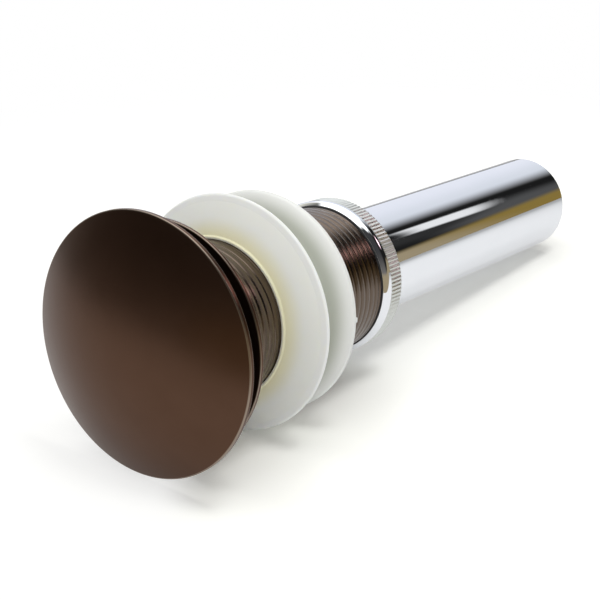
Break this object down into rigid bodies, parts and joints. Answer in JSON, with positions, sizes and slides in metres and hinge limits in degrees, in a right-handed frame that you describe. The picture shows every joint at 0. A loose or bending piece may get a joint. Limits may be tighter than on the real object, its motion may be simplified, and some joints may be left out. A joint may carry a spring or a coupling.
{
  "type": "pop up basin waste",
  "caption": "Press-to-open basin waste with a domed cap, a flanged threaded neck with gasket and back nut, and a chrome tail pipe with a knurled collar.",
  "frame": {"origin": "centre of the flange's underside, where it rests on the basin", "axes": "+Z along the waste's axis, up out of the basin towards the cap; the tail pipe points along -Z"},
  "size_m": [0.0682, 0.0682, 0.2118],
  "materials": {
    "bronze": "satin dark oil-rubbed bronze over brass",
    "brass": "turned brass",
    "steel": "plain stainless steel",
    "chrome": "mirror chrome plate",
    "silicone": "milky translucent silicone",
    "white_plastic": "moulded white plastic",
    "black_rubber": "black moulded rubber",
    "acetal": "natural acetal",
    "fibre": "red vulcanised fibre"
  },
  "bodies": {
    "waste": {"drain_body": "bronze", "click_stem": "brass", "stem_gasket": "fibre", "stem_washer": "steel", "stem_nut": "brass", "return_spring": "steel", "tail_seal": "black_rubber", "tail_ferrule": "chrome", "tail_pipe": "chrome"},
    "thrust": {"thrust_washer": "steel"},
    "stopper": {"dome_cap": "bronze", "cap_boss": "brass", "seal_carrier": "brass", "cap_seal": "black_rubber", "push_sleeve": "brass", "latch_retainer": "steel"},
    "latch": {"latch_ring": "acetal", "latch_pin": "steel"},
    "gasket": {"basin_gasket": "silicone"},
    "nut": {"back_nut": "white_plastic"}
  },
  "joints": [
    {"name": "stopper_press", "type": "slide", "parent": "waste", "child": "thrust", "axis": [0, 0, 1], "range_m": [-0.006, 0], "stiffness_N_per_m": 500, "springref_m": 0.012, "deforming": ["return_spring"]},
    {"name": "stopper_spin", "type": "hinge", "parent": "thrust", "child": "stopper", "pos_m": [0, 0, 0.008], "axis": [0, 0, 1], "continuous": true},
    {"name": "latch_turn", "type": "hinge", "parent": "thrust", "child": "latch", "pos_m": [0, 0, -0.0016], "axis": [0, 0, 1], "range_deg": [0, 30]},
    {"name": "nut_turn", "type": "hinge", "parent": "gasket", "child": "nut", "pos_m": [0, 0, -0.035], "axis": [0, 0, 1], "range_deg": [-3975, 3040]},
    {"name": "gasket_slide", "type": "slide", "parent": "waste", "child": "gasket", "axis": [0, 0, 1], "range_m": [-0.0256, 0.0196]}
  ],
  "couplings": [
    {"joint": "latch_turn", "follows": "stopper_press", "rad_per_m": -87.26},
    {"joint": "gasket_slide", "follows": "nut_turn", "m_per_rad": 0.0003675}
  ]
}
